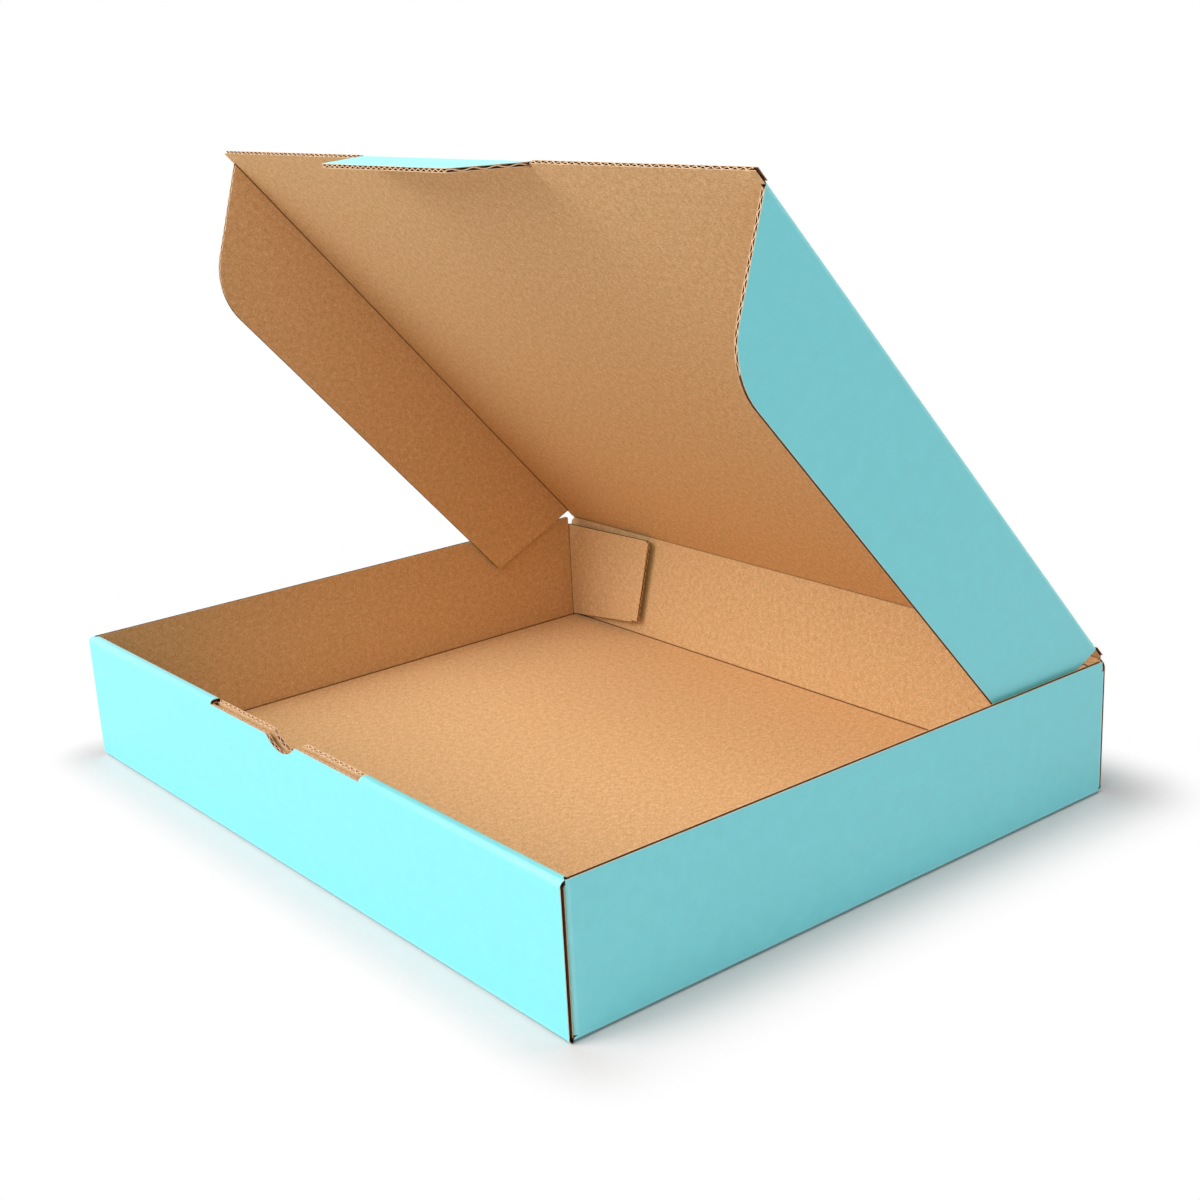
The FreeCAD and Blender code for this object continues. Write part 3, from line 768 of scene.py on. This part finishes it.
# %% Fluting tree: the wave
here = add(fluting, "ShaderNodeSeparateXYZ", links={
    0: add(fluting, "GeometryNodeInputPosition").outputs[0]})
phase = add(fluting, "ShaderNodeMath", {"operation": "DIVIDE"}, {
    0: here.outputs[0], 1: put["Pitch"]})
phase = add(fluting, "ShaderNodeMath", {"operation": "MULTIPLY_ADD"}, {
    0: phase.outputs[0], 1: math.tau, 2: 0.6})
wave = add(fluting, "ShaderNodeMath", {"operation": "SINE"}, {0: phase.outputs[0]})
wave = add(fluting, "ShaderNodeMath", {"operation": "MULTIPLY"}, {
    0: wave.outputs[0], 1: put["Rise"]})
wave = add(fluting, "ShaderNodeMath", {"operation": "MULTIPLY"}, {0: wave.outputs[0], 1: 0.5})
offset = add(fluting, "ShaderNodeCombineXYZ", links={2: wave.outputs[0]})
waved = add(fluting, "GeometryNodeSetPosition", links={
    0: placed.outputs[0], "Offset": offset.outputs[0]})
print("wave in", len(fluting.nodes), "nodes")


# %% Fluting tree: thickness and cutting
def thickened(sheet, up, depth):
    """A flat sheet made a closed slab: its extruded copy and its own faces turned over."""
    raised = add(fluting, "GeometryNodeExtrudeMesh", links={
        "Mesh": sheet, "Offset": up, "Offset Scale": depth, "Individual": False})
    under = add(fluting, "GeometryNodeFlipFaces", links={0: sheet})
    slab = add(fluting, "GeometryNodeJoinGeometry")
    for part in (under.outputs[0], raised.outputs[0]):
        fluting.links.new(part, slab.inputs[0])
    return add(fluting, "GeometryNodeMergeByDistance", links={
        0: slab.outputs[0], "Distance": 0.000001}).outputs[0]


medium = thickened(waved.outputs[0], (0, 0, 1), put["Paper"])
PRISM_BELOW, PRISM_HEIGHT = 0.002, 0.006         # the cutter reaches past the sheet both ways
sunk = add(fluting, "GeometryNodeTransform", links={
    0: put["Panels"], "Translation": (0, 0, -PRISM_BELOW)})
prism = thickened(sunk.outputs[0], (0, 0, 1), PRISM_HEIGHT)
cut = add(fluting, "GeometryNodeMeshBoolean", {"operation": "INTERSECT", "solver": "EXACT"})
for part in (medium, prism):
    fluting.links.new(part, cut.inputs[1])
real = add(fluting, "GeometryNodeRealizeInstances", links={0: cut.outputs[0]})
finished = add(fluting, "GeometryNodeSetMaterial", links={
    0: real.outputs[0], "Material": put["Finish"]})
add(fluting, "NodeGroupOutput", links={0: finished.outputs[0]})
print("fluting tree with", len(fluting.nodes), "nodes")


# %% Fluting of one body
def fluted_medium(flat, panels, wave_kind=2):
    """The medium of some of the blank's triangles, still in the blank, in millimetres.
    Its cut ends get the pale finish, 1, and its waves the dark one, 2, unless asked."""
    mesh = bpy.data.meshes.new("panels")
    mesh.from_pydata((np.c_[flat, np.zeros(len(flat))] * MM).tolist(), [], panels.tolist())
    holder = bpy.data.objects.new("panels", mesh)
    scene.collection.objects.link(holder)
    modifier = holder.modifiers.new("fluting", "NODES")
    modifier.node_group = fluting
    inputs = {s.name: s.identifier for s in face.items_tree if s.in_out == "INPUT"}
    for name, value in FLUTING.items():
        modifier[inputs[name]] = value
    modifier[inputs["Finish"]] = kraft_inside_painted_shade
    graph = bpy.context.evaluated_depsgraph_get()
    made = bpy.data.meshes.new_from_object(holder.evaluated_get(graph))
    points = np.empty(len(made.vertices) * 3)
    made.vertices.foreach_get("co", points)
    faces = [tuple(p.vertices) for p in made.polygons]
    # the waves get the dark paper, 2, a painted shade for the inside of the board
    kinds = [1 if abs(p.normal.z) < 0.2 and abs(p.normal.x) < 0.9 else wave_kind
             for p in made.polygons]
    bpy.data.objects.remove(holder)
    bpy.data.meshes.remove(made)
    bpy.data.meshes.remove(mesh)
    return {"points": points.reshape(-1, 3) / MM, "faces": faces, "kinds": kinds}


# %% [markdown]
# ## Putting the plies together
# Each body gets two pieces: its printed ply, and its kraft ply with the medium. They ride on the
# body's CAD node and stand for it. The blank's own coordinates go along as a UV map, so the
# papers' grain runs with the sheet.


# %% Building pieces
def piece(name, parts, fold, materials, start=0.0, mirror=False):
    """Folds the flat parts and makes one mesh object of them, in metres, at the origin."""
    points, faces, kinds = [], [], []
    for part in parts:
        first = sum(len(p) for p in points)
        points.append(part["points"])
        faces += [tuple(first + i for i in face) for face in part["faces"]]
        kinds += part["kinds"]
    blank = np.vstack(points)
    placed, crease = fold(blank)
    if mirror:
        placed[:, 0] *= -1
        faces = [face[::-1] for face in faces]
    mesh = bpy.data.meshes.new(name)
    mesh.from_pydata((placed * MM).tolist(), [], faces)
    mesh.polygons.foreach_set("material_index", kinds)
    for material in materials:
        mesh.materials.append(material)
    corner = np.empty(len(mesh.loops), int)
    mesh.loops.foreach_get("vertex_index", corner)
    uv = np.c_[blank[:, 0] * (-1 if mirror else 1), blank[:, 1] + start] * MM
    mesh.uv_layers.new(name="blank").data.foreach_set("uv", uv[corner].ravel())
    mesh.attributes.new("crease", "FLOAT", "POINT").data.foreach_set("value", crease)
    mesh.shade_smooth()
    mesh.set_sharp_from_angle(angle=math.radians(35))
    made = bpy.data.objects.new(name, mesh)
    scene.collection.objects.link(made)
    print(f"{name}: {len(mesh.polygons)} faces")
    return made


def board(node, flat, fold, hollow=lambda x, y: x < 0, start=0.0, mirror=False, rims=None):
    """Makes the printed ply and the kraft ply with its medium, in place of one CAD node.
    The medium fills the flat panels between the creases and, where asked, a slot's rims, which
    light reaches, so that they are pale inside."""
    points, corners = flat
    middles = np.c_[points[corners].mean(axis=1), np.zeros(len(corners))]
    lit = rims(points[corners], RIM).all(axis=1) if rims else np.zeros(len(corners), bool)
    bent = rims(points[corners]).all(axis=1) if rims else lit
    full = (fold(middles)[1] < 0.99) & ~hollow(*np.abs(middles[:, :2].T)) & ~bent
    # painted light and shade: inside the board the faces are pale cut-edge paper where light
    # reaches the slot's rims, and dark, painted shade, elsewhere
    inner = np.where(lit, 1, 2)
    print_ply = ply(*flat, 0.0, LINER, (0, inner, 1))
    layers = [ply(*flat, BOARD - LINER, BOARD, (inner, 0, 1)),
              fluted_medium(points, corners[full & ~lit])]
    layers += [fluted_medium(points, corners[part], 1) for part in (full & lit, bent) if part.any()]
    outside = piece(f"{node}_print", [print_ply], fold, [print_finish, kraft_edge, kraft_inside_painted_shade],
                    start, mirror)
    inside = piece(f"{node}_kraft", layers, fold, [kraft_face, kraft_edge, kraft_inside_painted_shade],
                   start, mirror)
    for made, slot in ((outside, "printed_board"), (inside, "kraft_board")):
        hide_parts(node)
        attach(made, node)


board("tray", tray_flat, fold_tray, hollow_in_tray, rims=slot_rims)
board("lid", lid_flat, fold_lid, hollow_in_lid, LID_FROM)
board("front_tab", tab_flat, fold_tab, start=TAB_FROM)
board("rear_corner_flap_right", flap_flat, fold_flap, start=FLAP_AXIS[1])
board("rear_corner_flap_left", flap_flat, fold_flap, start=FLAP_AXIS[1], mirror=True)

# %% [markdown]
# ## Creases that turn
# Where the lid, the tab and the corner flaps turn, only the liners bridge the crease. Each crease
# is a narrow strip of one ply between the two bodies. The printed strip goes round the outside in
# an arc. The kraft strip meets in a corner on the inside of the fold.

# %% Crease strip shapes
BLEND_LEAN = (0.976, 0.217)       # the kraft strip's blend is turned 12.5 degrees from its board


def face_path(offset, start, turn, lead):
    """One face of a ply across a crease, in the plane square to its axis. The angles are those of
    the board's outward normal, and a negative offset lies on the inside of the fold."""
    path = [(offset * math.cos(start) + lead * math.sin(start),
             offset * math.sin(start) - lead * math.cos(start))]
    if offset > 0:
        angles = [start + turn * k / 8 for k in range(9)]
        return path + [(offset * math.cos(a), offset * math.sin(a)) for a in angles]
    reach = offset / math.cos(turn / 2)
    middle = start + turn / 2
    return path + [(reach * math.cos(middle), reach * math.sin(middle)),
                   (offset * math.cos(start + turn), offset * math.sin(start + turn))]


def crease_strip(name, offsets, bend, ends, place, kinds, mirror=False):
    """A strip of one ply between two bodies. Its offsets are its two faces', the printed
    side's first, and its bend is (start angle, turn, lead)."""
    low, high = (np.array(face_path(offset, *bend)) for offset in offsets)
    steps = np.arange(len(low), dtype=float)
    loop = [(ends[0], 0), (ends[1], 0), (ends[1], steps[-1]), (ends[0], steps[-1])]
    flat = flat_triangles([loop], [((ends[0], i), (ends[1], i)) for i in steps[1:-1]])

    def bent(blank):
        near, far = ([np.interp(blank[:, 1], steps, path[:, k]) for k in (0, 1)]
                     for path in (low, high))
        across = np.where(blank[:, 2] > 0, far, near)
        # the printed strip is pale all over, stretched ink and a painted highlight; the kraft strip
        # gets a painted shade line at its inside corner
        painted_fold_tone = np.ones(len(blank)) if offsets[0] > 0 else 1 - np.abs(blank[:, 1] - 1)
        return place(blank[:, 0], *across), painted_fold_tone

    made = piece(name, [ply(*flat, 0.0, LINER, kinds)], bent,
                 [print_finish, kraft_edge, kraft_face], mirror=mirror)
    if offsets[0] > 0:
        first, last = low[1], low[-1]
    else:
        normal = np.array((math.cos(bend[0]), math.sin(bend[0])))
        across = BLEND_LEAN[0] * normal + BLEND_LEAN[1] * np.array((-normal[1], normal[0]))
        first, last = high[0], high[0] + across * ((high[-1] - high[0]) @ across)
    points = [place(np.zeros(1), *(np.full(1, c) for c in point))[0] * MM
              for point in (first, last)]
    if mirror:
        points = [point * (-1, 1, 1) for point in points]
    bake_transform(made)


# %% Crease strips
def at_lid_crease(along, a, b):
    return np.c_[along, HINGE[0] + a, HINGE[1] + b]


def at_tab_crease(along, a, b):
    return open_lid(np.c_[along, TUCK_Y + a, HINGE[1] + b])


def at_flap_crease(along, a, b):
    return np.c_[FLAP_AXIS[0] + a, FLAP_AXIS[1] + b, along]


half = BOARD / 2
FLAP_CREASE_ENDS = (2.2, 47.3)
lid_bend = (0.0, math.pi / 2 - LID_OPENING, HINGE_GAP + half)
tab_bend = (math.pi / 2, TAB_FOLD, HINGE_GAP + half)
flap_bend = (0.0, math.pi / 2 + FLAP_STANDOFF, HINGE_GAP)
outside, inside = (0, 1, 1), (1, 2, 1)
for part, bend, ends, place, bodies in (
        ("lid_crease", lid_bend, (-151.6, 151.6), at_lid_crease, ("tray", "lid")),
        ("tab_crease", tab_bend, (-49.4, 49.4), at_tab_crease, ("lid", "front_tab"))):
    crease_strip(f"{part}_print", (half, half - LINER), bend, ends, place, outside)
    crease_strip(f"{part}_kraft", (LINER - half, -half), bend, ends, place, inside)
for side in ("right", "left"):
    bodies = ("tray", f"rear_corner_flap_{side}")
    crease_strip(f"flap_crease_{side}_print", (BOARD, BOARD - LINER), flap_bend, FLAP_CREASE_ENDS,
                 at_flap_crease, outside, side == "left")
    crease_strip(f"flap_crease_{side}_kraft", (LINER, 0.03), flap_bend, FLAP_CREASE_ENDS,
                 at_flap_crease, inside, side == "left")
